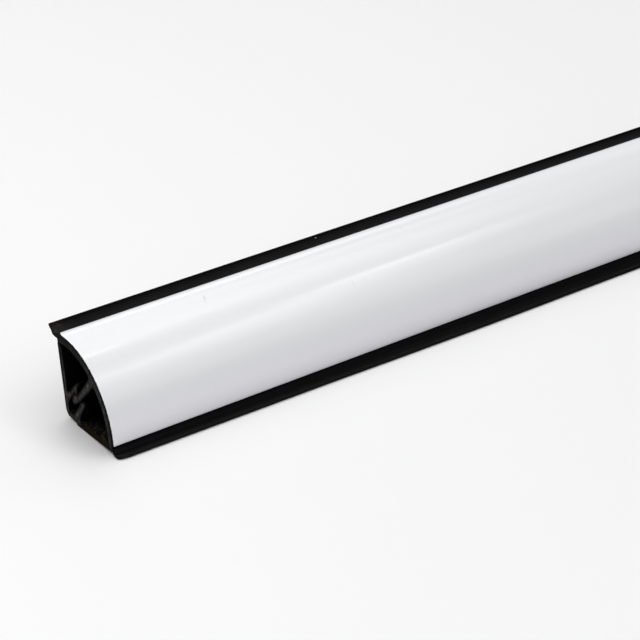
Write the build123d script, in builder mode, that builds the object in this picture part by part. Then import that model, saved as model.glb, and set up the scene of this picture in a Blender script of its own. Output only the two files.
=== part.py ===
from build123d import *
import os
from math import sqrt, sin, cos, asin, atan2, radians, degrees

# Clip-together quarter-round skirting trim, as it lies unheld on a level surface.
# Row frame: +X along the strip, +Y to the wall side (its back), +Z up.
# Every section below is drawn in the strip's own section frame, in millimetres:
#   s runs forward from the wall plane, t runs up from the worktop plane.
# A second pair of section coordinates follows the 45 degree diagonal, on which
# the clip works: u along the diagonal, v across it, positive on the wall's side.

# ---- driving dimensions (mm) ------------------------------------------------
LENGTH = 1500.0        # stock length
LEG = 25.0             # nominal height and depth of the quarter round
ARC_C = 3.60           # centre of the front arc, from both reference planes
ARC_R = 21.40          # radius of the finished front face
FILM_T = 0.25          # thickness of the white decor film
WALL_T = 2.50          # front wall with its film
RAIL_T = 2.00          # back wall and floor of the rail
FIT = 0.10             # play between clip and rail

FILM_TOP = (0.40, 24.76)   # film edge at the back of the top
FILM_FOOT = (24.93, 1.87)  # film edge at the foot

HEEL_S = 5.45          # where the floor's raised heel ends and the floor begins
HEEL_T = 0.90          # how far the heel is relieved above the worktop plane
ROOT_R = 1.10          # fillets where the barbed leg meets the front wall

LIP_C = (29.40, -0.62)  # centre of the lower lip's rounded tip
LIP_R = 0.55            # its radius
ULIP_C = (-3.62, 25.90)  # centre of the upper lip's rounded tip
ULIP_R = 0.33            # its radius

# ---- how the section lies ---------------------------------------------------
# It rests on the front edge of the heel and on the lower lip, so it leans back.
reach = LIP_C[0] - HEEL_S
TILT = degrees(asin(LIP_R / sqrt(reach ** 2 + LIP_C[1] ** 2)) + atan2(-LIP_C[1], reach))
ct, st = cos(radians(TILT)), sin(radians(TILT))


def row_y(s, t):
    """Row Y of a section point, before the section is centred."""
    return -s * ct + t * st


def row_z(s, t):
    """Row Z of a section point, before the section is dropped on the floor."""
    return s * st + t * ct


Y_FRONT = row_y(*LIP_C) - LIP_R
Y_BACK = row_y(*ULIP_C) + ULIP_R
Y0 = -(Y_FRONT + Y_BACK) / 2
Z0 = -row_z(HEEL_S, 0.0)

# local x = s (forward), local y = t (up), normal = -X
SECTION = Plane(origin=(LENGTH / 2, Y0, Z0), x_dir=(0, -ct, st), z_dir=(-1, 0, 0))


def D(u, v):
    """Section point from diagonal coordinates."""
    return ((u - v) / sqrt(2), (u + v) / sqrt(2))


def on_arc(r, t=None, s=None):
    """Point of the circle of radius r about the arc centre, by its s or its t."""
    if s is None:
        return (ARC_C + sqrt(r ** 2 - (t - ARC_C) ** 2), t)
    return (s, ARC_C + sqrt(r ** 2 - (s - ARC_C) ** 2))


def unit(p):
    """Direction from the arc centre to a section point."""
    d = (p[0] - ARC_C, p[1] - ARC_C)
    n = sqrt(d[0] ** 2 + d[1] ** 2)
    return (d[0] / n, d[1] / n)


def on_ray(p, r):
    """Point at radius r on the ray from the arc centre through p."""
    d = unit(p)
    return (ARC_C + d[0] * r, ARC_C + d[1] * r)


R_FILM_IN = ARC_R - FILM_T      # the film's back, and the plastic under it
R_IN = ARC_R - WALL_T           # inside of the front wall
MID = D(ARC_C * sqrt(2) + 1, 0)  # a point on the 45 degree ray
LEG_ROOT = ARC_C * sqrt(2) + R_IN + 0.8  # inside the front wall's thickness

# ---- white decor film on the front face -------------------------------------
with BuildPart() as decor_film:
    with BuildSketch(SECTION):
        with BuildLine():
            ThreePointArc(on_ray(FILM_TOP, ARC_R), on_ray(MID, ARC_R), on_ray(FILM_FOOT, ARC_R))
            Line(on_ray(FILM_FOOT, ARC_R), on_ray(FILM_FOOT, R_FILM_IN))
            ThreePointArc(on_ray(FILM_FOOT, R_FILM_IN), on_ray(MID, R_FILM_IN), on_ray(FILM_TOP, R_FILM_IN))
            Line(on_ray(FILM_TOP, R_FILM_IN), on_ray(FILM_TOP, ARC_R))
        make_face()
    extrude(amount=LENGTH)

# ---- cover: quarter-round wall, barbed leg and the two sealing lips ----------
SEAT_TOP = on_arc(R_IN, s=1.10)       # where the rail's back wall meets the cover
SEAT_FOOT_S = 22.45                   # where the rail's floor meets the cover
FOOT_IN = on_arc(R_IN, t=1.30)

with BuildPart() as cover_strip:
    with BuildSketch(SECTION):
        # front wall with both lips, in one loop
        with BuildLine():
            # under the film
            ThreePointArc(on_ray(FILM_TOP, R_FILM_IN), on_ray(MID, R_FILM_IN), on_ray(FILM_FOOT, R_FILM_IN))
            # shadow groove below the film's foot edge
            Polyline(on_ray(FILM_FOOT, R_FILM_IN), (24.36, 1.60), (24.30, 1.05))
            # lower lip, upper side
            Spline((24.30, 1.05), (24.85, 0.50), (26.30, -0.02), LIP_C[:1] + (LIP_C[1] + LIP_R,),
                   tangents=((0.25, -1), (1, -0.04)))
            # its rounded tip
            ThreePointArc((LIP_C[0], LIP_C[1] + LIP_R), (LIP_C[0] + LIP_R, LIP_C[1]), (LIP_C[0], LIP_C[1] - LIP_R))
            # lower lip, under side
            Spline((LIP_C[0], LIP_C[1] - LIP_R), (26.80, -1.05), (25.30, -0.50), (24.10, 0.0),
                   tangents=((-1, 0), (-1, 0.12)))
            # foot of the front wall and its seat on the rail's floor
            Polyline((24.10, 0.0), (SEAT_FOOT_S, 0.0), (SEAT_FOOT_S, 1.05), FOOT_IN)
            # inside of the front wall
            ThreePointArc(FOOT_IN, on_ray(MID, R_IN), SEAT_TOP)
            # seat on the back wall's top edge, and the back edge of the wall
            Polyline(SEAT_TOP, (0.12, SEAT_TOP[1]), (0.12, 23.30))
            # upper lip, under side
            Spline((0.12, 23.30), (-1.70, 23.42), (-2.75, 24.05), (-3.50, 24.90), (ULIP_C[0] - ULIP_R, ULIP_C[1]),
                   tangents=((-1, 0), (-0.05, 1)))
            # its rounded tip
            ThreePointArc((ULIP_C[0] - ULIP_R, ULIP_C[1]), (ULIP_C[0], ULIP_C[1] + ULIP_R),
                          (ULIP_C[0] + ULIP_R, ULIP_C[1]))
            # upper lip, upper side
            Spline((ULIP_C[0] + ULIP_R, ULIP_C[1]), (-2.20, 24.90), (-0.90, 24.52), on_ray(FILM_TOP, ARC_R),
                   tangents=((0.1, -1), (1, 0.12)))
            Line(on_ray(FILM_TOP, ARC_R), on_ray(FILM_TOP, R_FILM_IN))
        make_face()
        # barbed leg on the diagonal
        with BuildLine():
            Polyline(
                D(LEG_ROOT, 1.35),
                D(12.10, 1.35),            # shaft, wall side
                D(11.15, 2.35),            # shoulder of the barb
                D(9.30, 2.35),
                D(7.90, 1.65),             # lead-in
                D(7.75, 1.10),
                D(8.35, 0.40),
                D(9.50, -0.05),
                D(12.40, -0.45),           # shaft, worktop side
                D(20.00, -0.95),
                D(LEG_ROOT, -1.05),
                close=True,
            )
        make_face()
        # fillets where the leg meets the inside of the front wall
        roots = [vertices().sort_by_distance(D(LEG_ROOT - 0.85, v))[0] for v in (1.35, -1.05)]
        fillet(roots, radius=ROOT_R)
    extrude(amount=LENGTH)

# ---- rail: back wall, floor and the two clip jaws ----------------------------
SEAT_T = SEAT_TOP[1]
with BuildPart() as mounting_rail:
    with BuildSketch(SECTION):
        with BuildLine():
            Polyline(
                (0.00, 2.40),              # bevelled heel
                (0.00, SEAT_T - 0.20),     # back wall, wall side
                (0.20, SEAT_T),
                (1.10, SEAT_T),            # top edge, seated under the cover
                (RAIL_T, SEAT_T - 0.80),
                (RAIL_T, 9.10),            # back wall, inside
                (2.40, 8.80),
                (3.95, 9.55),              # upper jaw, outer side
                (4.95, 10.85),
                (6.05, 11.90),
                (7.60, 13.00),
                (9.35, 14.05),
                (9.70, 13.95),             # its tip
                (9.05, 12.95),
                (8.15, 11.75),
                D(12.80, 1.35 + FIT),      # nose that holds the barb
                D(12.25, 1.35 + FIT),
                D(11.30, 2.35 + FIT),
                D(7.60, 2.35 + FIT),       # upper jaw, inner side
                (2.20, 5.60),
                (RAIL_T, 5.05),
                (RAIL_T, 3.10),
                (2.20, 2.65),              # corner chamber
                (3.50, 2.60),
                (4.40, 3.00),
                D(6.60, -0.85 - FIT),      # lower jaw, inner side
                D(12.60, -0.70 - FIT),
                D(13.55, -0.95),
                D(14.45, -1.65),           # its tip
                D(14.60, -2.25),
                D(14.10, -2.65),
                D(12.20, -2.75),           # lower jaw, outer side
                D(10.30, -2.98),
                D(8.60, -3.32),
                (7.65, 2.60),
                (7.85, RAIL_T),
                (18.10, RAIL_T),           # floor, inside
                (18.65, 3.35),             # stiffening ridge along the front edge
                (19.40, 3.80),
                (20.60, 3.80),
                (21.60, 3.10),
                (21.98, 2.10),
                (SEAT_FOOT_S, 1.05),
                (SEAT_FOOT_S, 0.00),       # front edge, seated against the cover
                (HEEL_S, 0.00),            # floor, worktop side
                (HEEL_S - 0.45, HEEL_T),   # relieved heel
                (1.05, HEEL_T + 0.15),
                close=True,
            )
        make_face()
    extrude(amount=LENGTH)

# ---- labels and files ---------------------------------------------------------
decor_film.part.label = "decor_film"
cover_strip.part.label = "cover_strip"
mounting_rail.part.label = "mounting_rail"

os.makedirs("parts", exist_ok=True)
export_step(decor_film.part, "parts/decor_film.step")
export_step(cover_strip.part, "parts/cover_strip.step")
export_step(mounting_rail.part, "parts/mounting_rail.step")

print("tilt of the section, degrees:", round(TILT, 3))
print("section origin in the row frame, mm: y", round(Y0, 4), "z", round(Z0, 4))
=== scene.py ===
import math
import random

import bpy
import numpy as np
from mathutils import Matrix, Vector, noise
from mathutils.geometry import delaunay_2d_cdt


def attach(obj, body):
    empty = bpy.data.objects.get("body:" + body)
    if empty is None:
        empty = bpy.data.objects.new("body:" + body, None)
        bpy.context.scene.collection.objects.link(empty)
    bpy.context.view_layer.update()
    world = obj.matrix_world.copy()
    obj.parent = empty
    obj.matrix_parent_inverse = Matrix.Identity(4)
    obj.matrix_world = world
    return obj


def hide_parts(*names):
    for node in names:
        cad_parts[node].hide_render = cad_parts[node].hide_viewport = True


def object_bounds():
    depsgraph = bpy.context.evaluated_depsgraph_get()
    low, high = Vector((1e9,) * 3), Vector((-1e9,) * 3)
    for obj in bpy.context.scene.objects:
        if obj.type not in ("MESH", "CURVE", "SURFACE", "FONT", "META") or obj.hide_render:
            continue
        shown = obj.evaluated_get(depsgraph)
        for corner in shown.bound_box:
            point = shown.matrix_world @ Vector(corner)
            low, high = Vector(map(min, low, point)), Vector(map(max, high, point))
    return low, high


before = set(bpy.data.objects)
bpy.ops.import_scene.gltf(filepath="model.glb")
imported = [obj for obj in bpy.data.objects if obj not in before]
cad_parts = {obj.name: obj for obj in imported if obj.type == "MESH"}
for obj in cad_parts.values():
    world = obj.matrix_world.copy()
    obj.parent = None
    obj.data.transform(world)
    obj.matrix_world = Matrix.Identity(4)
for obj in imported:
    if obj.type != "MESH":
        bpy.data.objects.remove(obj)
cad_low, cad_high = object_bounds()

# =============================================================================
# Section of the trim, in millimetres, in its own section frame:
# s runs forward from the wall plane, t runs up from the worktop plane.
# =============================================================================
LENGTH = 1500.0
ARC_C, ARC_R = 3.60, 21.40
SKIN = 0.12                    # the film's thickness as it shows
WALL_T, RAIL_T, FIT = 2.50, 2.00, 0.10
FILM_TOP, FILM_FOOT = (0.40, 24.76), (24.93, 1.87)
HEEL_S, HEEL_T = 5.45, 0.90
LIP_C, LIP_R = (29.40, -0.62), 0.55
ULIP_C, ULIP_R = (-3.62, 25.90), 0.33
SAW_IN = 0.06                  # the sawn face lies this far inside the stock length, its burrs reach out

reach = LIP_C[0] - HEEL_S
TILT = math.asin(LIP_R / math.hypot(reach, LIP_C[1])) + math.atan2(-LIP_C[1], reach)
ct, st = math.cos(TILT), math.sin(TILT)
Y0 = -((-LIP_C[0] * ct + LIP_C[1] * st - LIP_R) + (-ULIP_C[0] * ct + ULIP_C[1] * st + ULIP_R)) / 2
Z0 = -HEEL_S * st
SQ2 = math.sqrt(2.0)


def row(x, s, t):
    """Row frame, metres, from the length along the strip and the section point, both in mm."""
    return ((x - LENGTH / 2) / 1000, (Y0 - s * ct + t * st) / 1000, (Z0 + s * st + t * ct) / 1000)


def boxed(p, gap=0.00001):
    """The point, kept a hair inside the frame's own box."""
    return tuple(min(max(c, lo + gap), hi - gap) for c, lo, hi in zip(p, cad_low, cad_high))


def D(u, v):
    return ((u - v) / SQ2, (u + v) / SQ2)


def polar(r, a):
    return (ARC_C + r * math.cos(a), ARC_C + r * math.sin(a))


def angle_of(p):
    return math.atan2(p[1] - ARC_C, p[0] - ARC_C)


def arc(c, r, a0, a1, n):
    return [(c[0] + r * math.cos(a0 + (a1 - a0) * i / n), c[1] + r * math.sin(a0 + (a1 - a0) * i / n)) for i in range(n + 1)]


def curve(pts, t0, t1, n):
    """Cubic through the points, with the two end directions, n steps a span."""
    P = [Vector(p) for p in pts]
    d = [(P[i + 1] - P[i]).length for i in range(len(P) - 1)]
    T = []
    for i in range(len(P)):
        if i == 0:
            T.append(Vector(t0).normalized())
        elif i == len(P) - 1:
            T.append(Vector(t1).normalized())
        else:
            a, b = (P[i] - P[i - 1]) / d[i - 1], (P[i + 1] - P[i]) / d[i]
            T.append((a * d[i] + b * d[i - 1]) / (d[i] + d[i - 1]))
    out = []
    for i in range(len(P) - 1):
        for k in range(n):
            u = k / n
            h = d[i]
            q = (P[i] * (2 * u**3 - 3 * u**2 + 1) + T[i] * h * (u**3 - 2 * u**2 + u)
                 + P[i + 1] * (-2 * u**3 + 3 * u**2) + T[i + 1] * h * (u**3 - u**2))
            out.append((q.x, q.y))
    out.append((P[-1].x, P[-1].y))
    return out


def soften(loop, radii, n=4):
    """Rounds the corners of a closed polyline. radii gives a radius for each corner."""
    out = []
    m = len(loop)
    for i in range(m):
        p, a, b = Vector(loop[i]), Vector(loop[i - 1]), Vector(loop[(i + 1) % m])
        ua, ub = a - p, b - p
        la, lb = ua.length, ub.length
        ua, ub = ua / la, ub / lb
        cosang = max(-1.0, min(1.0, ua.dot(ub)))
        half = math.acos(cosang) / 2
        r = radii[i] if not isinstance(radii, (int, float)) else radii
        if r <= 0 or half > math.radians(84):
            out.append((p.x, p.y))
            continue
        cut = min(r / math.tan(half), la * 0.42, lb * 0.42)
        q0, q1 = p + ua * cut, p + ub * cut
        for k in range(n + 1):
            u = k / n
            q = q0 * (1 - u) ** 2 + p * 2 * u * (1 - u) + q1 * u**2
            out.append((q.x, q.y))
    return out


def smoothstep(a, b, x):
    u = max(0.0, min(1.0, (x - a) / (b - a)))
    return u * u * (3 - 2 * u)


A_TOP, A_FOOT = angle_of(FILM_TOP), angle_of(FILM_FOOT)
R_SKIN = ARC_R - SKIN
R_IN = ARC_R - WALL_T
SEAT_TOP = (1.10, ARC_C + math.sqrt(R_IN**2 - (1.10 - ARC_C) ** 2))
SEAT_FOOT_S = 22.45
FOOT_IN = (ARC_C + math.sqrt(R_IN**2 - (1.30 - ARC_C) ** 2), 1.30)


# ---- how the soft lips lie along the strip -----------------------------------
def near_end(x):
    return min(x, LENGTH - x)


def lip_reach(x):
    """s of the lower lip's tip centre: short at the sawn ends, and wavy where it is pressed on the surface."""
    e = near_end(x)
    grow = 27.31 + 0.0111 * e + 0.25 * smoothstep(60, 100, e)
    far = 28.85 + 0.29 * smoothstep(230, 330, e) + 0.12 * math.sin(x / 61.0 + 0.6) + 0.09 * math.sin(x / 23.0) + 0.04 * math.sin(x / 9.1)
    w = smoothstep(112, 150, e)
    r = grow * (1 - w) + far * w
    r -= 0.95 * math.exp(-e / 0.9)
    return min(r + 0.02 * noise.noise(Vector((x * 0.35, 3.1, 0.0))), LIP_C[0] - 0.01)


def lip_contact_t(s):
    """t of the tip's centre when its underside lies on the level surface."""
    return LIP_R / ct - (s - HEEL_S) * st / ct


def ulip_drop(x):
    """How far the upper lip's edge hangs below its extruded place."""
    e = near_end(x)
    return 0.12 * smoothstep(0, 190, e) + 0.05 * math.sin(x / 74.0) * smoothstep(60, 200, e) \
        + 0.015 * noise.noise(Vector((x * 0.12, 7.7, 0.0)))


def cover_loop(x):
    L = lip_reach(x)
    lt = lip_contact_t(L) + 0.002
    k = (L - 24.1) / (LIP_C[0] - 24.1)          # how far the lip is stretched
    z = lambda s: 24.1 + (s - 24.1) * k
    dl = lt - LIP_C[1]
    w = lambda s: max(0.0, (s - 24.1) / (L - 24.1))
    drop = ulip_drop(x)
    u = lambda p: (p[0], p[1] - drop * max(0.0, -p[0] / 3.6) ** 1.3)
    out = []
    # under the film, and at the sawn ends smeared over the film's edge
    out += arc((ARC_C, ARC_C), ARC_R - 0.004 if near_end(x) < 0.33 else R_SKIN, A_TOP, A_FOOT, 70)
    out += [(24.52, 1.62), (24.40, 1.52), (24.33, 1.36), (24.30, 1.12)]   # groove below the film's foot edge
    top = curve([(24.30, 1.05), (24.85, 0.50 + dl * 0.05), (z(26.30), -0.02 + dl * 0.5), (L, lt + LIP_R)],
                (0.25, -1), (1, -0.04), 7)
    out += top
    out += arc((L, lt), LIP_R, math.pi / 2, -math.pi / 2, 12)[1:-1]
    under = curve([(L, lt - LIP_R), (z(26.80), -1.05 + dl), (z(25.30), -0.50 + dl * 0.4), (24.10, 0.0)],
                  (-1, 0.0), (-1, 0.12), 6)
    lowest = lambda s: -(s - HEEL_S) * st / ct      # the level surface, in section coordinates
    out += [(s, max(t, lowest(s) + 0.004)) for s, t in under]
    out += [(23.6, 0.0), (SEAT_FOOT_S + 0.10, 0.0), (SEAT_FOOT_S + 0.02, 0.05), (SEAT_FOOT_S + 0.02, 1.02)]
    a0, a1 = angle_of(FOOT_IN), angle_of(SEAT_TOP)
    # inside of the front wall, with the barbed leg on the diagonal
    up_a = math.asin(1.35 / R_IN)
    lo_a = math.asin(1.00 / R_IN)
    d45 = math.pi / 4
    u_in = ARC_C * SQ2 + R_IN
    out += arc((ARC_C, ARC_C), R_IN, a0, d45 - lo_a - 1.25 / R_IN, 30)
    out += curve([polar(R_IN, d45 - lo_a - 1.15 / R_IN), D(u_in - 0.32, -1.35), D(u_in - 1.15, -1.03)],
                 (-math.sin(d45), math.cos(d45)), (-1, -1), 4)
    leg = [D(20.00, -0.95), D(12.40, -0.45), D(9.50, -0.05), D(8.35, 0.40), D(7.75, 1.10), D(7.90, 1.65),
           D(9.30, 2.35), D(11.15, 2.35), D(12.10, 1.35)]
    lr = [0, 3.0, 1.2, 0.7, 0.5, 0.5, 0.45, 0.18, 0.25]
    ring = soften([D(u_in - 1.1, -1.03)] + leg + [D(u_in - 1.3, 1.36)], [0] + lr + [0])
    out += ring[1:-1]
    out += curve([D(u_in - 1.3, 1.37), D(u_in - 0.40, 1.72), polar(R_IN, d45 + up_a + 1.45 / R_IN)],
                 (1, 1), (-math.sin(d45), math.cos(d45)), 4)
    out += arc((ARC_C, ARC_C), R_IN, d45 + up_a + 1.55 / R_IN, a1, 30)
    out += [(0.95, SEAT_TOP[1] + 0.01), (0.16, SEAT_TOP[1] + 0.01), (0.12, SEAT_TOP[1] + 0.05), (0.12, 23.22)]
    # upper lip: under side with the bead at its edge, tip, top side
    low = curve([(0.02, 23.30), (-0.50, 23.38), (-1.60, 23.45), (-2.22, 23.70), (-2.72, 24.20), (-2.93, 24.80),
                 (-3.30, 24.96), (-3.66, 25.08), (-3.90, 25.42), (ULIP_C[0] - ULIP_R, ULIP_C[1])],
                (-1, 0.1), (-0.02, 1), 3)
    out += [u(p) for p in low]
    out += [u(p) for p in arc(ULIP_C, ULIP_R, math.pi, 0, 8)[1:-1]]
    topside = curve([(ULIP_C[0] + ULIP_R, ULIP_C[1]), (-2.20, 24.90), (-0.90, 24.52), polar(ARC_R - 0.03, A_TOP + 0.004)],
                    (0.1, -1), (1, 0.16), 7)
    out += [u(p) for p in topside]
    return out


RAIL = soften([
    (0.00, 2.40), (0.00, SEAT_TOP[1] - 0.20), (0.20, SEAT_TOP[1]), (1.10, SEAT_TOP[1]), (RAIL_T, SEAT_TOP[1] - 0.80),
    (RAIL_T, 9.10), (2.40, 8.80), (3.95, 9.55), (4.95, 10.85), (6.05, 11.90), (7.60, 13.00), (9.35, 14.05),
    (9.70, 13.95), (9.05, 12.95), (8.15, 11.75), D(12.80, 1.35 + FIT), D(12.25, 1.35 + FIT), D(11.30, 2.35 + FIT),
    D(7.60, 2.35 + FIT), (2.20, 5.60), (RAIL_T, 5.05), (RAIL_T, 3.10), (2.20, 2.65), (3.50, 2.60), (4.40, 3.00),
    D(6.60, -0.85 - FIT), D(12.60, -0.70 - FIT), D(13.55, -0.95), D(14.45, -1.65), D(14.60, -2.25), D(14.10, -2.65),
    D(12.20, -2.75), D(10.30, -2.98), D(8.60, -3.32), (7.65, 2.60), (7.85, RAIL_T), (18.10, RAIL_T), (18.65, 3.35),
    (19.40, 3.80), (20.60, 3.80), (21.60, 3.10), (21.98, 2.10), (SEAT_FOOT_S, 1.05), (SEAT_FOOT_S, 0.00),
    (HEEL_S, 0.00), (HEEL_S - 0.45, HEEL_T), (1.05, HEEL_T + 0.15),
], [0.5, 0.1, 0.1, 0.05, 0.3, 0.5, 0.5, 1.0, 1.5, 1.5, 2.0, 0.12, 0.12, 1.5, 1.5, 0.2, 0.3, 0.15, 0.5, 1.0, 0.8, 1.0,
    0.6, 0.6, 1.0, 2.0, 2.0, 0.6, 0.5, 0.5, 0.8, 3.0, 3.0, 3.0, 0.6, 0.3, 0.3, 0.6, 0.5, 0.6, 0.8, 0.4, 0.1, 0.08,
    0.15, 0.2, 0.3], 3)


def rail_loop(x):
    return RAIL


def film_loop(x):
    """The film, a thin skin on the arc, its two edges rounded over."""
    ro, ri = ARC_R, R_SKIN + 0.001
    foot = A_FOOT - 0.0030                 # its foot edge stands a little proud of the groove
    out = arc((ARC_C, ARC_C), ro, A_TOP - 0.0022, foot + 0.0022, 150)
    out += [polar(ro - 0.025, foot + 0.0006), polar(ro - 0.06, foot)]
    out += arc((ARC_C, ARC_C), ri, foot + 0.0002, A_TOP - 0.0002, 60)
    out += [polar(ro - 0.06, A_TOP), polar(ro - 0.025, A_TOP - 0.0006)]
    return out


# =============================================================================
# Sweeping a section along the strip, with a sawn face at both ends
# =============================================================================
def stations(step, fine):
    a = [0.0] + fine
    x = a[-1]
    while x + step * 1.5 < LENGTH / 2:
        x += step
        a.append(x)
    half = a + [LENGTH / 2]
    return half + [LENGTH - v for v in reversed(half[:-1])]


def inside(poly, p):
    """True if p is in the closed polygon."""
    x, y = p
    hit = False
    j = len(poly) - 1
    for i in range(len(poly)):
        xi, yi = poly[i]
        xj, yj = poly[j]
        if (yi > y) != (yj > y) and x < (xj - xi) * (y - yi) / (yj - yi) + xi:
            hit = not hit
        j = i
    return hit


def to_edge(arr, p):
    """Distance of p to the closed polygon arr."""
    a = arr
    b = np.roll(arr, -1, axis=0)
    d = b - a
    q = np.array(p)
    u = np.clip(((q - a) * d).sum(1) / np.maximum((d * d).sum(1), 1e-12), 0, 1)
    return float(np.sqrt((((a + d * u[:, None]) - q) ** 2).sum(1)).min())


def saw_depth(s, t, seed):
    """How far a point of the sawn face lies from the stock's end, in mm: blade marks, tears and burrs."""
    marks = 0.5 + 0.5 * math.sin((s * 0.78 + t * 0.62) * 5.2 + 1.7 * noise.noise(Vector((s * 0.5, t * 0.5, seed))))
    rough = noise.noise(Vector((s * 2.3, t * 2.3, seed + 4.0)))
    fine = noise.noise(Vector((s * 6.1, t * 6.1, seed + 9.0)))
    return SAW_IN + 0.030 * marks + 0.045 * rough + 0.030 * fine


def rim_shade(p, d):
    """How far a sawn face has got from its dark rim to its own tone, d from the outline: the outer rims are the widest."""
    r = math.hypot(p[0] - ARC_C, p[1] - ARC_C)
    if r > R_IN - 0.1 and p[0] > 0.4 and p[1] > 1.0:
        return smoothstep(0.55, 1.30, R_SKIN - r) * smoothstep(0.0, 0.50, r - R_IN)     # front wall
    if 0.0 < p[0] < RAIL_T and 9.3 < p[1] < SEAT_TOP[1] - 1.0:
        return smoothstep(0.35, 1.05, p[0]) * smoothstep(0.0, 0.20, RAIL_T - p[0])     # back wall
    return smoothstep(0.22, 0.85, d)


def sweep(name, loop_at, xs, cap_step, seed, tone, edge_noise=0.0, inset=lambda s, t: 0.0):
    loops = [loop_at(x) for x in xs]
    n = len(loops[0])
    assert all(len(l) == n for l in loops), name
    rng = random.Random(seed)
    verts, faces = [], []
    last = len(xs) - 1
    for i, (x, l) in enumerate(zip(xs, loops)):
        for j, (s, t) in enumerate(l):
            xx = x
            if i == 0 or i == last:
                # burrs: the sawn edge is ragged
                ragged = noise.noise(Vector((s * 3.1, t * 3.1, seed + 21.0 + i)))
                depth = inset(s, t) + max(0.004, saw_depth(s, t, seed) - 0.10 * max(0.0, ragged) * 2.0)
                xx = depth if i == 0 else LENGTH - depth
                g = edge_noise * noise.noise(Vector((s * 2.7, t * 2.7, seed + 33.0 + i)))
                q = l[(j + 1) % n]
                r = l[j - 1]
                tx, ty = q[0] - r[0], q[1] - r[1]
                ln = math.hypot(tx, ty) or 1.0
                s, t = s + g * ty / ln, t - g * tx / ln
            verts.append(boxed(row(xx, s, t)))
    for i in range(last):
        for j in range(n):
            k = (j + 1) % n
            a, b, c, d = i * n + j, i * n + k, (i + 1) * n + k, (i + 1) * n + j
            faces.append((a, b, c, d))
    cut_tone = [0.0] * len(verts)
    for i in (0, last):
        for j, (s, t) in enumerate(loops[i]):
            cut_tone[i * n + j] = 0.0
    # the two sawn faces, triangulated with points inside so that they can be rough
    for end, i in ((0, 0), (1, last)):
        l = loops[i]
        arr = np.array(l)
        lo, hi = arr.min(0), arr.max(0)
        pts = list(l)
        rim = [0.0] * n
        y = lo[1] + cap_step / 2
        k = 0
        while y < hi[1]:
            x = lo[0] + (cap_step / 2 if k % 2 else 0)
            while x < hi[0]:
                p = (x + rng.uniform(-0.22, 0.22) * cap_step, y + rng.uniform(-0.22, 0.22) * cap_step)
                if inside(l, p):
                    d = to_edge(arr, p)
                    if d > cap_step * 0.42:
                        pts.append(p)
                        rim.append(rim_shade(p, d))
                x += cap_step
            y += cap_step * 0.866
            k += 1
        edges = [(j, (j + 1) % n) for j in range(n)]
        got = delaunay_2d_cdt([Vector(p) for p in pts], edges, [], 1, 1e-7)
        cv, cf, orig = got[0], got[2], got[3]
        index = {}
        for v, src in enumerate(orig):
            p = (cv[v].x, cv[v].y)
            own = [q for q in src if q < n]
            if own:
                index[v] = i * n + own[0]
            else:
                depth = inset(*p) + saw_depth(p[0], p[1], seed)
                index[v] = len(verts)
                verts.append(boxed(row(depth if end == 0 else LENGTH - depth, *p)))
                own = min(max(src), len(rim) - 1) if src else n - 1
                cut_tone.append(tone(*p) * (0.04 + 0.96 * rim[own]) * rng.uniform(0.55, 1.3))
        for f in cf:
            ids = [index[v] for v in f]
            if len(set(ids)) < 3:
                continue
            P = [verts[q] for q in ids]
            area = sum(P[a][1] * P[(a + 1) % 3][2] - P[(a + 1) % 3][1] * P[a][2] for a in range(3))
            # looking along +X the row's (y, z) turn anticlockwise for a face whose normal is +X
            if (area > 0) != (end == 1):
                ids.reverse()
            faces.append(tuple(ids))
    me = bpy.data.meshes.new(name)
    me.from_pydata(verts, [], faces)
    me.validate()
    me.update()
    assert len(me.vertices) == len(cut_tone), name
    attr = me.attributes.new("cut_tone", "FLOAT", "POINT")
    attr.data.foreach_set("value", cut_tone)
    ob = bpy.data.objects.new(name, me)
    bpy.context.scene.collection.objects.link(ob)
    # sides face outwards: flip them all if the loop runs the other way
    import bmesh
    bm = bmesh.new()
    bm.from_mesh(me)
    bmesh.ops.recalc_face_normals(bm, faces=bm.faces)
    bm.to_mesh(me)
    bm.free()
    for p in me.polygons:
        p.use_smooth = True
    me.set_sharp_from_angle(angle=math.radians(38))
    return ob


def cover_tone(s, t):
    """How pale the sawn face of the cover is at a section point, 0 to 1."""
    u, v = (s + t) / SQ2, (t - s) / SQ2
    if u < ARC_C * SQ2 + R_IN - 0.4 and abs(v) < 3.5 and s > 2.0:
        return 0.95                                      # the barbed leg
    if s < 0.3:
        return 0.55                                      # upper lip
    if t < 1.0:
        return 0.62                                      # foot and lower lip
    a = math.degrees(angle_of((s, t)))
    patchy = 0.55 + 0.9 * smoothstep(-0.35, 0.45, noise.noise(Vector((s * 1.1, t * 1.1, 2.5))))
    return (0.16 + 0.46 * (1 - smoothstep(48, 74, a)) - 0.10 * smoothstep(12, -4, a)) * patchy + 0.10 * math.exp(-((a - 44) / 9) ** 2)


def rail_tone(s, t):
    """The same for the rail: pale jaws, a duller back wall and a dark, torn floor."""
    if s > 7.4 and t < 4.2:
        torn = smoothstep(-0.30, 0.42, noise.noise(Vector((s * 0.95, t * 1.25, 6.5))))
        return (0.06 + 0.34 * torn) if t < 2.1 else 0.34
    if s < 2.1:
        return 0.30 + 0.45 * (1 - smoothstep(8.0, 20.0, t))
    return 0.85


def film_tone(s, t):
    return 0.6


def film_inset(s, t):
    """The film ends a little inside the stock's end, and its top corner is worn round."""
    return 0.17 + 0.75 * max(0.0, (math.degrees(angle_of((s, t))) - 89.0) / 9.6) ** 2


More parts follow.
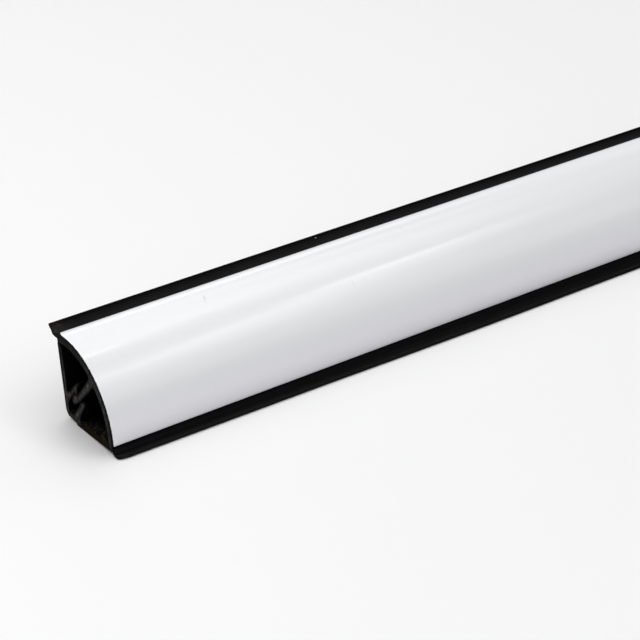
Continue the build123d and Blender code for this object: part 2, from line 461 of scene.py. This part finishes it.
FINE = [0.31, 0.37, 0.8, 1.4, 2.2, 3.2, 4.6, 6.4, 9.0]
cover = sweep("cover_strip_body", cover_loop, stations(13.0, FINE), 0.36, 2.0, cover_tone, 0.05)
rail = sweep("mounting_rail_body", rail_loop, stations(75.0, [0.4, 1.5, 6.0]), 0.36, 5.0, rail_tone, 0.06)
film = sweep("decor_film_skin", film_loop, stations(25.0, [1.3, 2.5, 6.0]), 0.30, 8.0, film_tone, 0.0, film_inset)


# ---- saw dust and torn crumbs inside the sawn ends ---------------------------
def crumbs(ob, seed):
    """Adds small torn crumbs of plastic to the rail's floor, near both sawn ends."""
    rng = random.Random(seed)
    import bmesh
    bm = bmesh.new()
    bm.from_mesh(ob.data)
    pale = bm.verts.layers.float.new("crumb")
    spots = [(9.4, 2.0, 0.7, 0.50), (10.6, 2.0, 1.6, 0.42), (12.1, 2.0, 0.6, 0.45), (13.0, 2.0, 2.2, 0.55),
             (14.6, 2.0, 1.0, 0.60), (15.8, 2.0, 2.4, 0.45), (16.9, 2.0, 0.8, 0.70), (17.5, 2.0, 2.1, 0.60),
             (19.8, 3.8, 1.4, 0.42), (8.9, 2.0, 3.1, 0.40), (11.4, 2.0, 3.7, 0.45), (15.0, 2.0, 4.4, 0.40)]
    for end in (0, 1):
        for s, t, x, size in spots:
            s += rng.uniform(-0.2, 0.2)
            x += rng.uniform(-0.2, 0.2)
            size *= rng.uniform(0.8, 1.15)
            made = bmesh.ops.create_icosphere(bm, subdivisions=2, radius=1.0)
            off = Vector((rng.uniform(0, 9), rng.uniform(0, 9), rng.uniform(0, 9)))
            sx, ss, sz = rng.uniform(0.6, 1.2), rng.uniform(0.6, 1.3), rng.uniform(0.35, 0.6)
            shade = rng.uniform(0.2, 1.0) ** 2
            for v in made["verts"]:
                v[pale] = shade
                p = v.co.copy()
                k = 1.0 + 0.55 * noise.noise(p * 1.3 + off) + 0.25 * noise.noise(p * 3.0 + off)
                q = Vector((p.x * sx, p.y * ss, p.z * sz)) * k * size / 2
                xx = x + q.x if end == 0 else LENGTH - x - q.x
                v.co = Vector(row(xx, s + q.y, t + size * 0.12 + q.z))
    bm.to_mesh(ob.data)
    bm.free()
    for p in ob.data.polygons:
        p.use_smooth = True
    ob.data.set_sharp_from_angle(angle=math.radians(38))


crumbs(rail, 11)


# =============================================================================
# Materials
# =============================================================================
def new_material(name):
    m = bpy.data.materials.new(name)
    m.use_nodes = True
    nt = m.node_tree
    nt.nodes.clear()
    out = nt.nodes.new("ShaderNodeOutputMaterial")
    b = nt.nodes.new("ShaderNodeBsdfPrincipled")
    nt.links.new(b.outputs["BSDF"], out.inputs["Surface"])
    return m, nt, b


class Tree:
    def __init__(self, nt):
        self.nt = nt

    def link(self, a, b):
        self.nt.links.new(a, b)

    def set(self, socket, value):
        if isinstance(value, bpy.types.NodeSocket):
            self.link(value, socket)
        else:
            socket.default_value = value

    def object_coords(self):
        return self.nt.nodes.new("ShaderNodeTexCoord").outputs["Object"]

    def mapping(self, v, scale=(1, 1, 1), location=(0, 0, 0), rotation=(0, 0, 0)):
        n = self.nt.nodes.new("ShaderNodeMapping")
        self.link(v, n.inputs["Vector"])
        n.inputs["Scale"].default_value = scale
        n.inputs["Location"].default_value = location
        n.inputs["Rotation"].default_value = rotation
        return n.outputs["Vector"]

    def noise(self, v, scale, detail=2.0, rough=0.5, distortion=0.0):
        n = self.nt.nodes.new("ShaderNodeTexNoise")
        self.link(v, n.inputs["Vector"])
        n.inputs["Scale"].default_value = scale
        n.inputs["Detail"].default_value = detail
        n.inputs["Roughness"].default_value = rough
        n.inputs["Distortion"].default_value = distortion
        return n.outputs["Fac"]

    def voronoi(self, v, scale, randomness=1.0):
        n = self.nt.nodes.new("ShaderNodeTexVoronoi")
        self.link(v, n.inputs["Vector"])
        n.inputs["Scale"].default_value = scale
        n.inputs["Randomness"].default_value = randomness
        return n.outputs["Distance"]

    def ranged(self, v, a, b, c, d, smooth=False):
        n = self.nt.nodes.new("ShaderNodeMapRange")
        n.interpolation_type = "SMOOTHSTEP" if smooth else "LINEAR"
        n.clamp = True
        self.set(n.inputs["Value"], v)
        for key, val in zip(("From Min", "From Max", "To Min", "To Max"), (a, b, c, d)):
            n.inputs[key].default_value = val
        return n.outputs["Result"]

    def math(self, op, a, b=None):
        n = self.nt.nodes.new("ShaderNodeMath")
        n.operation = op
        self.set(n.inputs[0], a)
        if b is not None:
            self.set(n.inputs[1], b)
        return n.outputs[0]

    def mix(self, fac, a, b):
        n = self.nt.nodes.new("ShaderNodeMix")
        n.data_type = "RGBA"
        self.set(n.inputs[0], fac)
        self.set(n.inputs[6], a)
        self.set(n.inputs[7], b)
        return n.outputs[2]

    def split(self, v):
        n = self.nt.nodes.new("ShaderNodeSeparateXYZ")
        self.link(v, n.inputs[0])
        return n.outputs

    def attribute(self, name):
        n = self.nt.nodes.new("ShaderNodeAttribute")
        n.attribute_type = "GEOMETRY"
        n.attribute_name = name
        return n.outputs["Fac"]

    def normal(self):
        return self.nt.nodes.new("ShaderNodeTexCoord").outputs["Normal"]

    def spot(self, v, at, radius, soft):
        """1 within radius of a point, fading to 0 over soft, both in metres."""
        n = self.nt.nodes.new("ShaderNodeVectorMath")
        n.operation = "DISTANCE"
        self.link(v, n.inputs[0])
        n.inputs[1].default_value = at
        return self.ranged(n.outputs["Value"], radius, radius + soft, 1.0, 0.0, True)

    def bump(self, height, distance, strength=1.0, after=None):
        n = self.nt.nodes.new("ShaderNodeBump")
        n.inputs["Strength"].default_value = strength
        n.inputs["Distance"].default_value = distance
        self.link(height, n.inputs["Height"])
        if after is not None:
            self.link(after, n.inputs["Normal"])
        return n.outputs["Normal"]


def on_film(x, deg):
    a = math.radians(deg)
    return row(x, ARC_C + ARC_R * math.cos(a), ARC_C + ARC_R * math.sin(a))


def white_film():
    m, nt, b = new_material("white_film")
    T = Tree(nt)
    v = T.object_coords()
    slow = T.noise(T.mapping(v, (4, 40, 40)), 1.0, 2.0, 0.5)
    # painted light: the film is made a little more violet towards its foot, a painted tint of the light on its lower
    # face
    colour = T.mix(T.ranged(T.split(v)[2], 0.007, 0.014, 0.0, 1.0, True), (0.836, 0.831, 0.871, 1), (0.821, 0.832, 0.849, 1))
    colour = T.mix(T.ranged(slow, 0.3, 0.7, 0.0, 0.03), colour, (0.70, 0.70, 0.70, 1))
    # a few specks and one faint scratch, as on the real face
    def smear(x, deg, half, amount, lean):
        """A short slanted smear: an ellipse on the face, long across the strip."""
        q = T.mapping(v, (1, 1, 1), tuple(-c for c in on_film(x, deg)))
        q = T.mapping(q, (1, 1, 1), (0, 0, 0), (0, 0, math.radians(lean)))
        q = T.mapping(q, (1.0, 0.16, 0.16))
        ln = T.nt.nodes.new("ShaderNodeVectorMath")
        ln.operation = "LENGTH"
        T.link(q, ln.inputs[0])
        return T.ranged(ln.outputs["Value"], half * 0.25, half, amount, 0.0, True)

    dark = T.math("MAXIMUM", smear(40.3, 79.6, 0.00024, 0.55, 12), smear(39.6, 76.0, 0.00030, 0.16, 12))
    dark2 = smear(105.6, 81.6, 0.00026, 0.20, 12)
    fleck = T.voronoi(T.mapping(v, (1, 1, 1)), 60.0)
    flecks = T.ranged(fleck, 0.010, 0.018, 0.30, 0.0)
    scr_v = T.mapping(v, (1, 1, 1), tuple(-c for c in on_film(80.8, 48.5)))
    n = T.nt.nodes.new("ShaderNodeMapping")
    T.link(scr_v, n.inputs["Vector"])
    n.inputs["Scale"].default_value = (1.0, 0.055, 0.055)
    ln = T.nt.nodes.new("ShaderNodeVectorMath")
    ln.operation = "LENGTH"
    T.link(n.outputs["Vector"], ln.inputs[0])
    scratch = T.ranged(ln.outputs["Value"], 0.00003, 0.00012, 0.35, 0.0, True)
    marks = T.math("MAXIMUM", T.math("MAXIMUM", dark, dark2), T.math("MAXIMUM", flecks, scratch))
    colour = T.mix(marks, colour, (0.42, 0.41, 0.40, 1))
    # the film's own cut edge at the sawn ends is smeared over with the black plastic
    nx = T.math("ABSOLUTE", T.split(T.normal())[0])
    edge = T.ranged(nx, 0.55, 0.85, 0.0, 1.0, True)
    colour = T.mix(edge, colour, (0.012, 0.012, 0.012, 1))
    T.link(colour, b.inputs["Base Color"])
    r = T.noise(T.mapping(v, (60, 260, 260)), 1.0, 3.0, 0.6)
    T.link(T.ranged(r, 0.25, 0.75, 0.10, 0.14), b.inputs["Roughness"])
    b.inputs["IOR"].default_value = 1.5
    ripple = T.noise(T.mapping(v, (9, 210, 210)), 1.0, 1.0, 0.4)
    peel = T.noise(T.mapping(v, (500, 500, 500)), 1.0, 2.0, 0.5)
    nrm = T.bump(ripple, 0.00004, 1.0)
    nrm = T.bump(peel, 0.0000022, 1.0, nrm)
    T.link(nrm, b.inputs["Normal"])
    return m


def black_plastic(name, body, body2, cut, cut2, rough, spec, dust_and_shade):
    m, nt, b = new_material(name)
    T = Tree(nt)
    v = T.object_coords()
    xyz = T.split(v)
    ax = T.math("ABSOLUTE", xyz[0])
    nrmxyz = T.split(T.normal())
    # sawn faces: pale, with blade marks and torn grain
    nx = T.math("ABSOLUTE", nrmxyz[0])
    at_end = T.ranged(ax, LENGTH / 2000 - 0.0016, LENGTH / 2000 - 0.0006, 0.0, 1.0, True)
    sawn = T.math("MULTIPLY", T.ranged(nx, 0.45, 0.8, 0.0, 1.0, True), at_end)
    mott = T.noise(v, 900.0, 4.0, 0.65, 0.4)
    marks = T.noise(T.mapping(v, (1, 2600, 420), (0, 0, 0), (math.radians(45), 0, 0)), 1.0, 2.0, 0.55)
    both = T.math("MULTIPLY", T.ranged(mott, 0.34, 0.62, 0.15, 1.0), T.ranged(marks, 0.30, 0.68, 0.45, 1.0))
    tone = T.attribute("cut_tone")
    cut_colour = T.mix(T.math("MULTIPLY", both, tone), cut, cut2)
    # lengthwise streaks of the die
    die = T.noise(T.mapping(v, (2.5, 900, 900)), 1.0, 3.0, 0.6)
    body_colour = T.mix(T.ranged(die, 0.3, 0.7, 0.0, 1.0), body, body2)
    # saw dust that settled inside, near the ends, on surfaces that face up
    up = T.ranged(nrmxyz[2], 0.35, 0.8, 0.0, 1.0, True)
    near = T.ranged(ax, LENGTH / 2000 - 0.011, LENGTH / 2000 - 0.001, 0.0, 1.0)
    grains = T.ranged(T.noise(v, 1500.0, 3.0, 0.7), 0.46, 0.62, 0.0, 1.0)
    low = T.ranged(xyz[2], 0.0068, 0.0054, 0.0, 1.0)
    inner = T.ranged(xyz[1], -0.0112, -0.0106, 0.0, 1.0)
    dusty = T.math("MULTIPLY", T.math("MULTIPLY", T.math("MULTIPLY", up, near), T.math("MULTIPLY", low, inner)), T.math("MULTIPLY", grains, dust_and_shade))
    body_colour = T.mix(dusty, body_colour, (0.034, 0.031, 0.028, 1))
    if dust_and_shade:
        # torn crumbs, and painted shade: the floor's sawn face is darkened to an olive brown, the tint of the shadow
        # under the strip
        crumb = T.math("MULTIPLY", T.attribute("crumb"), T.ranged(grains, 0.0, 1.0, 0.45, 1.0))
        body_colour = T.mix(crumb, body_colour, (0.085, 0.082, 0.068, 1))
        floor_face = T.math("MULTIPLY", T.ranged(xyz[2], 0.0028, 0.0033, 1.0, 0.0), T.ranged(xyz[1], 0.0050, 0.0035, 0.0, 1.0))
        cut_colour = T.mix(T.math("MULTIPLY", floor_face, T.ranged(mott, 0.34, 0.62, 0.9, 0.6)), cut_colour, (0.0105, 0.0082, 0.0010, 1))
    # the lips' soft edges are bruised grey where the saw left them
    lips = T.math("MAXIMUM", T.ranged(xyz[1], -0.0126, -0.0138, 0.0, 1.0), T.ranged(xyz[1], 0.0126, 0.0140, 0.0, 1.0))
    bruise = T.math("MULTIPLY", T.math("MULTIPLY", lips, T.ranged(ax, LENGTH / 2000 - 0.0062, LENGTH / 2000 - 0.0012, 0.0, 1.0, True)),
                    T.ranged(T.noise(T.mapping(v, (1100, 500, 500)), 1.0, 3.0, 0.7), 0.40, 0.62, 0.10, 1.0))
    if dust_and_shade == 0.0:
        body_colour = T.mix(bruise, body_colour, (0.019, 0.017, 0.014, 1))
        # and painted light: near the ends the lips' outer parts are painted a little paler, standing in for the light
        # on them
        flat = T.math("MAXIMUM", T.ranged(xyz[1], -0.0130, -0.0137, 0.0, 1.0), T.ranged(xyz[1], 0.0140, 0.0165, 0.0, 0.2))
        painted_lip_light = T.math("MULTIPLY", flat, T.ranged(ax, LENGTH / 2000 - 0.21, LENGTH / 2000, 0.0, 1.0))
        body_colour = T.mix(T.math("MULTIPLY", painted_lip_light, T.math("SUBTRACT", 1.0, bruise)), body_colour, (0.0068, 0.0062, 0.0064, 1))
    body_colour = T.mix(T.spot(v, row(83.2, -3.25, 25.40), 0.00012, 0.00022), body_colour, (0.30, 0.30, 0.29, 1))
    # painted shade: the groove under the film's foot edge is darkened, as it lies in shadow
    groove_painted_shade = T.math("MULTIPLY", T.ranged(xyz[1], -0.0122, -0.0119, 1.0, 0.0), T.ranged(xyz[1], -0.0139, -0.0130, 0.0, 1.0, True))
    body_colour = T.mix(groove_painted_shade, body_colour, (0.0008, 0.0008, 0.0009, 1))
    T.link(T.mix(sawn, body_colour, cut_colour), b.inputs["Base Color"])
    rough_map = T.ranged(T.noise(v, 420.0, 3.0, 0.6), 0.3, 0.7, rough - 0.06, rough + 0.06)
    T.link(T.math("ADD", T.math("MULTIPLY", sawn, 0.30), rough_map), b.inputs["Roughness"])
    b.inputs["Specular IOR Level"].default_value = spec
    nrm = T.bump(die, 0.00002, 1.0)
    nrm = T.bump(T.noise(v, 2600.0, 2.0, 0.5), 0.000006, 1.0, nrm)
    torn = T.math("MULTIPLY", T.math("ADD", mott, T.math("MULTIPLY", marks, 0.6)), sawn)
    nrm = T.bump(torn, 0.00010, 1.0, nrm)
    T.link(nrm, b.inputs["Normal"])
    return m


def give(ob, material):
    ob.data.materials.clear()
    ob.data.materials.append(material)


film_mat = white_film()
cover_mat = black_plastic("cover_plastic", (0.0014, 0.0010, 0.0012, 1), (0.0026, 0.0020, 0.0024, 1),
                          (0.001, 0.001, 0.001, 1), (0.095, 0.093, 0.084, 1), 0.46, 0.05, 0.0)
rail_mat = black_plastic("rail_plastic", (0.0020, 0.0019, 0.0018, 1), (0.0034, 0.0032, 0.0030, 1),
                         (0.001, 0.001, 0.001, 1), (0.110, 0.106, 0.094, 1), 0.50, 0.02, 1.0)
give(film, film_mat)
give(cover, cover_mat)
give(rail, rail_mat)
for node, mat in (("decor_film", film_mat), ("cover_strip", cover_mat), ("mounting_rail", rail_mat)):
    give(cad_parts[node], mat)

for piece, node, slot in ((film, "decor_film", "white_film"), (cover, "cover_strip", "cover_plastic"),
                          (rail, "mounting_rail", "rail_plastic")):
    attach(piece, "root")
    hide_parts(node)

# =============================================================================
# Stage, light, camera
# =============================================================================
me = bpy.data.meshes.new("floor")
me.from_pydata([(-14, -14, 0), (14, -14, 0), (14, 14, 0), (-14, 14, 0)], [], [(0, 1, 2, 3)])
floor = bpy.data.objects.new("floor", me)
bpy.context.scene.collection.objects.link(floor)
fm, fnt, fb = new_material("floor_white")
fb.inputs["Base Color"].default_value = (0.90, 0.90, 0.90, 1)
fb.inputs["Roughness"].default_value = 0.7
fb.inputs["Specular IOR Level"].default_value = 0.2
give(floor, fm)

# a pale backdrop round the floor, seen by the camera only, so that it takes no part in the light
ring = 96
bv = [(13.9 * math.cos(2 * math.pi * i / ring), 13.9 * math.sin(2 * math.pi * i / ring), z) for z in (-0.01, 9.0) for i in range(ring)]
bf = [(i, (i + 1) % ring, ring + (i + 1) % ring, ring + i) for i in range(ring)]
me = bpy.data.meshes.new("backdrop")
me.from_pydata(bv, [], bf)
backdrop = bpy.data.objects.new("backdrop", me)
bpy.context.scene.collection.objects.link(backdrop)
bm_mat, bnt, bb = new_material("backdrop_white")
bb.inputs["Base Color"].default_value = (0.0, 0.0, 0.0, 1)
bb.inputs["Roughness"].default_value = 1.0
bb.inputs["Specular IOR Level"].default_value = 0.0
bb.inputs["Emission Color"].default_value = (1.0, 1.0, 1.0, 1)
bb.inputs["Emission Strength"].default_value = 0.74
give(backdrop, bm_mat)
backdrop.visible_diffuse = backdrop.visible_glossy = backdrop.visible_transmission = False
backdrop.visible_volume_scatter = backdrop.visible_shadow = False

world = bpy.data.worlds.new("studio")
bpy.context.scene.world = world
world.use_nodes = True
wt = world.node_tree
wt.nodes.clear()
wt_out = wt.nodes.new("ShaderNodeOutputWorld")
bg = wt.nodes.new("ShaderNodeBackground")
wt.links.new(bg.outputs["Background"], wt_out.inputs["Surface"])

# The studio's soft boxes are patches of the sky. Each is given on the plane one metre above the
# strip: u along the strip and v to its back, in metres, with soft edges.
W = Tree(wt)
toward = W.split(wt.nodes.new("ShaderNodeTexCoord").outputs["Generated"])
rise = W.math("MAXIMUM", toward[2], 0.01)
sky_u = W.math("DIVIDE", toward[0], rise)
sky_v = W.math("DIVIDE", toward[1], rise)
above = W.ranged(toward[2], 0.0, 0.02, 0.0, 1.0, True)


def box_patch(u0, u1, v0, v1, su, sv):
    f = above
    for c, e, soft, rising in ((sky_u, u0, su, True), (sky_u, u1, su, False), (sky_v, v0, sv, True), (sky_v, v1, sv, False)):
        if e is not None:
            f = W.math("MULTIPLY", f, W.ranged(c, e - soft, e + soft, 0.0 if rising else 1.0, 1.0 if rising else 0.0, True))
    return f


def round_patch(u, v, ru, rv, turn=0.0, core=0.0):
    a = math.radians(turn)
    du, dv = W.math("SUBTRACT", sky_u, u), W.math("SUBTRACT", sky_v, v)
    x = W.math("ADD", W.math("MULTIPLY", du, math.cos(a) / ru), W.math("MULTIPLY", dv, math.sin(a) / ru))
    y = W.math("ADD", W.math("MULTIPLY", du, -math.sin(a) / rv), W.math("MULTIPLY", dv, math.cos(a) / rv))
    r = W.math("SQRT", W.math("ADD", W.math("MULTIPLY", x, x), W.math("MULTIPLY", y, y)))
    return W.math("MULTIPLY", W.ranged(r, core, 1.0, 1.0, 0.0, True), above)


SKY = [
    (0.225, above),                                             # the pale room
    (0.689, box_patch(-0.5, 0.66, -1.9, 1.6, 0.14, 0.3)),       # ceiling over the middle
    (0.376, box_patch(0.2, 1.35, -2.1, -0.75, 0.15, 0.2)),      # and in front
    (0.575, box_patch(0.2, 1.05, -2.6, -0.75, 0.15, 0.2)),
    (0.763, box_patch(1.2, 2.6, -1.6, 1.6, 0.2, 0.3)),          # right
    (0.432, box_patch(0.9, 4.0, 1.8, 4.5, 0.3, 0.4)),           # behind
    (1.106, box_patch(None, None, 4.5, None, 1, 1)),
    (1.680, round_patch(1.25, 2.6, 0.8, 1.1)),
    (1.102, round_patch(0.4, 0.42, 0.4, 0.75)),                 # overhead box
    (0.435, round_patch(0.58, 0.45, 0.34, 0.75)),
    (0.632, round_patch(0.68, 0.5, 0.27, 0.6)),
    (0.156, round_patch(0.52, 0.85, 0.42, 0.7)),
    (1.334, round_patch(0.75, 1.55, 0.45, 0.6)),
    (1.260, round_patch(0.8, 1.05, 0.42, 0.42)),
    (0.353, round_patch(0.495, 0.325, 0.085, 0.11, 0, 0.3)),    # its lamp, the film's upper highlight
    (1.009, round_patch(0.495, 0.322, 0.075, 0.065, 0, 0.3)),
    (1.700, round_patch(0.405, 0.2, 0.06, 0.07, 0, 0.4)),
    (1.694, round_patch(0.415, 0.185, 0.05, 0.06, 0, 0.4)),
    (2.326, round_patch(0.388, 0.19, 0.055, 0.065, 0, 0.4)),
    (1.676, round_patch(0.56, -0.42, 0.26, 0.5, -14)),          # front box
    (0.285, round_patch(0.44, -0.62, 0.3, 0.42)),
    (0.918, round_patch(0.62, -0.42, 0.22, 0.48, -14)),
    (1.200, round_patch(0.68, -0.72, 0.26, 0.32)),
    (1.216, round_patch(0.5, -0.515, 0.06, 0.06, 0, 0.3)),      # its tube, the lower highlight
    (0.998, round_patch(0.49, -0.535, 0.055, 0.05, 0, 0.3)),
    (0.652, round_patch(0.48, -0.555, 0.075, 0.045, 0, 0.3)),
    (1.612, round_patch(0.548, -0.385, 0.05, 0.13, -28, 0.3)),
    (0.998, round_patch(0.618, -0.225, 0.075, 0.085, -20, 0.3)),
    (2.325, round_patch(0.622, -0.185, 0.08, 0.085, -20, 0.3)),
    (0.757, round_patch(0.69, -0.13, 0.07, 0.07, 0, 0.3)),
]
total = None
for power, patch in SKY:
    f = W.math("MULTIPLY", patch, power)
    total = f if total is None else W.math("ADD", total, f)
W.link(total, bg.inputs["Color"])
bg.inputs["Strength"].default_value = 1.0


def panel(name, at, size, radiance, turn=0.0, aim=None, colour=(1, 1, 1)):
    """An area light of a given size, in metres, and radiance, facing down or towards aim."""
    d = bpy.data.lights.new(name, "AREA")
    d.shape = "RECTANGLE"
    d.size, d.size_y = size
    d.energy = radiance * math.pi * size[0] * size[1]
    d.color = colour
    o = bpy.data.objects.new(name, d)
    bpy.context.scene.collection.objects.link(o)
    o.location = at
    if aim is None:
        o.rotation_euler = (0, 0, turn)
    else:
        q = (Vector(aim) - Vector(at)).to_track_quat("-Z", "Y")
        o.rotation_euler = (q.to_matrix() @ Matrix.Rotation(turn, 3, "Z")).to_euler()
    o.visible_camera = False
    return o


# two near soft boxes over the left end, whose light falls off along the strip
panel("near_low", (-1.06, 0.0, 0.5), (0.48, 0.90), 0.531)
panel("near_high", (-0.885, 0.225, 0.9), (0.83, 0.45), 1.131)

cam_data = bpy.data.cameras.new("camera")
cam = bpy.data.objects.new("camera", cam_data)
bpy.context.scene.collection.objects.link(cam)
cam_data.sensor_fit = "HORIZONTAL"
cam_data.sensor_width = 36.0
cam_data.lens = 115.159
cam_data.clip_start, cam_data.clip_end = 0.01, 60.0
right = Vector((0.822264, -0.568035, -0.034889))
up = Vector((0.294818, 0.372725, 0.879863))
back = Vector((-0.486789, -0.733766, 0.473945))
M = Matrix((right, up, back)).transposed().to_4x4()
M.translation = Vector((-0.949176, -0.409478, 0.274269))
cam.matrix_world = M
bpy.context.scene.camera = cam

vs = bpy.context.scene.view_settings
vs.view_transform = "Standard"
vs.look = "None"
vs.exposure = 0.0
vs.gamma = 1.0
